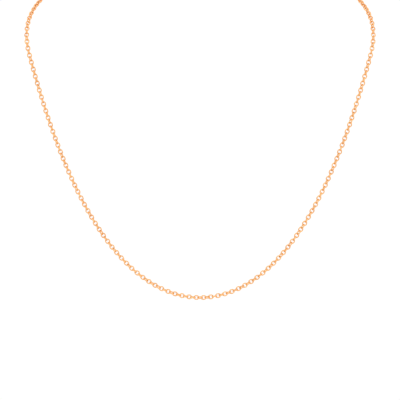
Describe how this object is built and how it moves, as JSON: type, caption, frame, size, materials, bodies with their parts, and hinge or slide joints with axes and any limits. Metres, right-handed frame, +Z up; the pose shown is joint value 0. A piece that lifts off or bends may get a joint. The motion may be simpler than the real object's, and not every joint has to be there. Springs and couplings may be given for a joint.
{
  "type": "chain necklace",
  "caption": "Fine rose-gold cable chain necklace of oval wire links in its worn shape, a U-shaped front drape and a spring ring clasp at the nape.",
  "frame": {"origin": "middle of the nape, on the line through the clasp, where the neck holds the chain", "axes": "+Z up, -Y the way the wearer faces, +X to the right as seen from the front; the front drape lies in an upright plane square to Y"},
  "size_m": [0.1304, 0.0605, 0.1316],
  "materials": {
    "link_gold": "polished",
    "clasp_gold": "polished",
    "spring_steel": "satin"
  },
  "bodies": {
    "nape": {"chain_left_23": "link_gold", "chain_right_23": "link_gold"},
    "neck_22": {"chain_left_22": "link_gold", "chain_right_22": "link_gold"},
    "neck_21": {"chain_left_21": "link_gold", "chain_right_21": "link_gold"},
    "neck_20": {"chain_left_20": "link_gold", "chain_right_20": "link_gold"},
    "neck_19": {"chain_left_19": "link_gold", "chain_right_19": "link_gold"},
    "neck_18": {"chain_left_18": "link_gold", "chain_right_18": "link_gold"},
    "neck_17": {"chain_left_17": "link_gold", "chain_right_17": "link_gold"},
    "neck_16": {"chain_left_16": "link_gold", "chain_right_16": "link_gold"},
    "neck_15": {"chain_left_15": "link_gold", "chain_right_15": "link_gold"},
    "neck_14": {"chain_left_14": "link_gold", "chain_right_14": "link_gold"},
    "neck_13": {"chain_left_13": "link_gold", "chain_right_13": "link_gold"},
    "drape_12": {"chain_left_12": "link_gold", "chain_right_12": "link_gold"},
    "drape_11": {"chain_left_11": "link_gold", "chain_right_11": "link_gold"},
    "drape_10": {"chain_left_10": "link_gold", "chain_right_10": "link_gold"},
    "drape_09": {"chain_left_09": "link_gold", "chain_right_09": "link_gold"},
    "drape_08": {"chain_left_08": "link_gold", "chain_right_08": "link_gold"},
    "drape_07": {"chain_left_07": "link_gold", "chain_right_07": "link_gold"},
    "drape_06": {"chain_left_06": "link_gold", "chain_right_06": "link_gold"},
    "drape_05": {"chain_left_05": "link_gold", "chain_right_05": "link_gold"},
    "drape_04": {"chain_left_04": "link_gold", "chain_right_04": "link_gold"},
    "drape_03": {"chain_left_03": "link_gold", "chain_right_03": "link_gold"},
    "drape_02": {"chain_left_02": "link_gold", "chain_right_02": "link_gold"},
    "drape_01": {"chain_left_01": "link_gold", "chain_right_01": "link_gold"},
    "middle": {"chain_middle": "link_gold"},
    "clasp": {"clasp_tube": "clasp_gold", "clasp_spring": "spring_steel", "clasp_eyelet": "clasp_gold"},
    "bolt": {"clasp_bolt": "clasp_gold"},
    "jump_ring": {"jump_ring": "clasp_gold"},
    "end_ring": {"end_ring": "clasp_gold"}
  },
  "joints": [
    {"name": "neck_lift_22", "type": "hinge", "parent": "nape", "child": "neck_22", "pos_m": [0, -0.001, -0.0002], "axis": [-1, 0, 0], "range_deg": [0, 6]},
    {"name": "neck_lift_21", "type": "hinge", "parent": "neck_22", "child": "neck_21", "pos_m": [0, -0.00407, -0.00088], "axis": [-1, 0, 0], "range_deg": [0, 6]},
    {"name": "neck_lift_20", "type": "hinge", "parent": "neck_21", "child": "neck_20", "pos_m": [0, -0.00872, -0.00205], "axis": [-1, 0, 0], "range_deg": [0, 6]},
    {"name": "neck_lift_19", "type": "hinge", "parent": "neck_20", "child": "neck_19", "pos_m": [0, -0.01448, -0.00368], "axis": [-1, 0, 0], "range_deg": [0, 6]},
    {"name": "neck_lift_18", "type": "hinge", "parent": "neck_19", "child": "neck_18", "pos_m": [0, -0.02098, -0.00579], "axis": [-1, 0, 0], "range_deg": [0, 6]},
    {"name": "neck_lift_17", "type": "hinge", "parent": "neck_18", "child": "neck_17", "pos_m": [0, -0.02797, -0.00844], "axis": [-1, 0, 0], "range_deg": [0, 6]},
    {"name": "neck_lift_16", "type": "hinge", "parent": "neck_17", "child": "neck_16", "pos_m": [0, -0.03524, -0.01175], "axis": [-1, 0, 0], "range_deg": [0, 6]},
    {"name": "neck_lift_15", "type": "hinge", "parent": "neck_16", "child": "neck_15", "pos_m": [0, -0.04257, -0.01592], "axis": [-1, 0, 0], "range_deg": [0, 6]},
    {"name": "neck_lift_14", "type": "hinge", "parent": "neck_15", "child": "neck_14", "pos_m": [0, -0.04958, -0.02132], "axis": [-1, 0, 0], "range_deg": [0, 6]},
    {"name": "neck_lift_13", "type": "hinge", "parent": "neck_14", "child": "neck_13", "pos_m": [0, -0.05534, -0.0285], "axis": [-1, 0, 0], "range_deg": [0, 6]},
    {"name": "drape_swing_12", "type": "hinge", "parent": "neck_13", "child": "drape_12", "pos_m": [0, -0.05787, -0.03735], "axis": [1, 0, 0], "range_deg": [-25, 25]},
    {"name": "drape_swing_11", "type": "hinge", "parent": "drape_12", "child": "drape_11", "pos_m": [0, -0.0579, -0.04639], "axis": [1, 0, 0], "range_deg": [-25, 25]},
    {"name": "drape_swing_10", "type": "hinge", "parent": "drape_11", "child": "drape_10", "pos_m": [0, -0.0579, -0.05538], "axis": [1, 0, 0], "range_deg": [-25, 25]},
    {"name": "drape_swing_09", "type": "hinge", "parent": "drape_10", "child": "drape_09", "pos_m": [0, -0.0579, -0.06428], "axis": [1, 0, 0], "range_deg": [-25, 25]},
    {"name": "drape_swing_08", "type": "hinge", "parent": "drape_09", "child": "drape_08", "pos_m": [0, -0.0579, -0.07309], "axis": [1, 0, 0], "range_deg": [-25, 25]},
    {"name": "drape_swing_07", "type": "hinge", "parent": "drape_08", "child": "drape_07", "pos_m": [0, -0.0579, -0.08175], "axis": [1, 0, 0], "range_deg": [-25, 25]},
    {"name": "drape_swing_06", "type": "hinge", "parent": "drape_07", "child": "drape_06", "pos_m": [0, -0.0579, -0.09023], "axis": [1, 0, 0], "range_deg": [-25, 25]},
    {"name": "drape_swing_05", "type": "hinge", "parent": "drape_06", "child": "drape_05", "pos_m": [0, -0.0579, -0.09844], "axis": [1, 0, 0], "range_deg": [-25, 25]},
    {"name": "drape_swing_04", "type": "hinge", "parent": "drape_05", "child": "drape_04", "pos_m": [0, -0.0579, -0.10626], "axis": [1, 0, 0], "range_deg": [-25, 25]},
    {"name": "drape_swing_03", "type": "hinge", "parent": "drape_04", "child": "drape_03", "pos_m": [0, -0.0579, -0.11348], "axis": [1, 0, 0], "range_deg": [-25, 25]},
    {"name": "drape_swing_02", "type": "hinge", "parent": "drape_03", "child": "drape_02", "pos_m": [0, -0.0579, -0.11976], "axis": [1, 0, 0], "range_deg": [-25, 25]},
    {"name": "drape_swing_01", "type": "hinge", "parent": "drape_02", "child": "drape_01", "pos_m": [0, -0.0579, -0.12458], "axis": [1, 0, 0], "range_deg": [-25, 25]},
    {"name": "middle_swing", "type": "hinge", "parent": "drape_01", "child": "middle", "pos_m": [0, -0.0579, -0.12727], "axis": [1, 0, 0], "range_deg": [-25, 25]},
    {"name": "jump_ring_turn", "type": "hinge", "parent": "nape", "child": "jump_ring", "pos_m": [0, 0, 0], "axis": [1, 0, 0], "range_deg": [-15, 15]},
    {"name": "clasp_turn", "type": "hinge", "parent": "nape", "child": "clasp", "pos_m": [0, 0, 0], "axis": [1, 0, 0], "range_deg": [-15, 15]},
    {"name": "end_ring_turn", "type": "hinge", "parent": "nape", "child": "end_ring", "pos_m": [0, 0, 0], "axis": [1, 0, 0], "range_deg": [-15, 15]},
    {"name": "bolt_draw", "type": "hinge", "parent": "clasp", "child": "bolt", "pos_m": [-0.00117, 0, 0], "axis": [0, 1, 0], "range_deg": [0, 42], "stiffness_Nm_per_rad": 0.002, "deforming": ["clasp_spring"]}
  ]
}
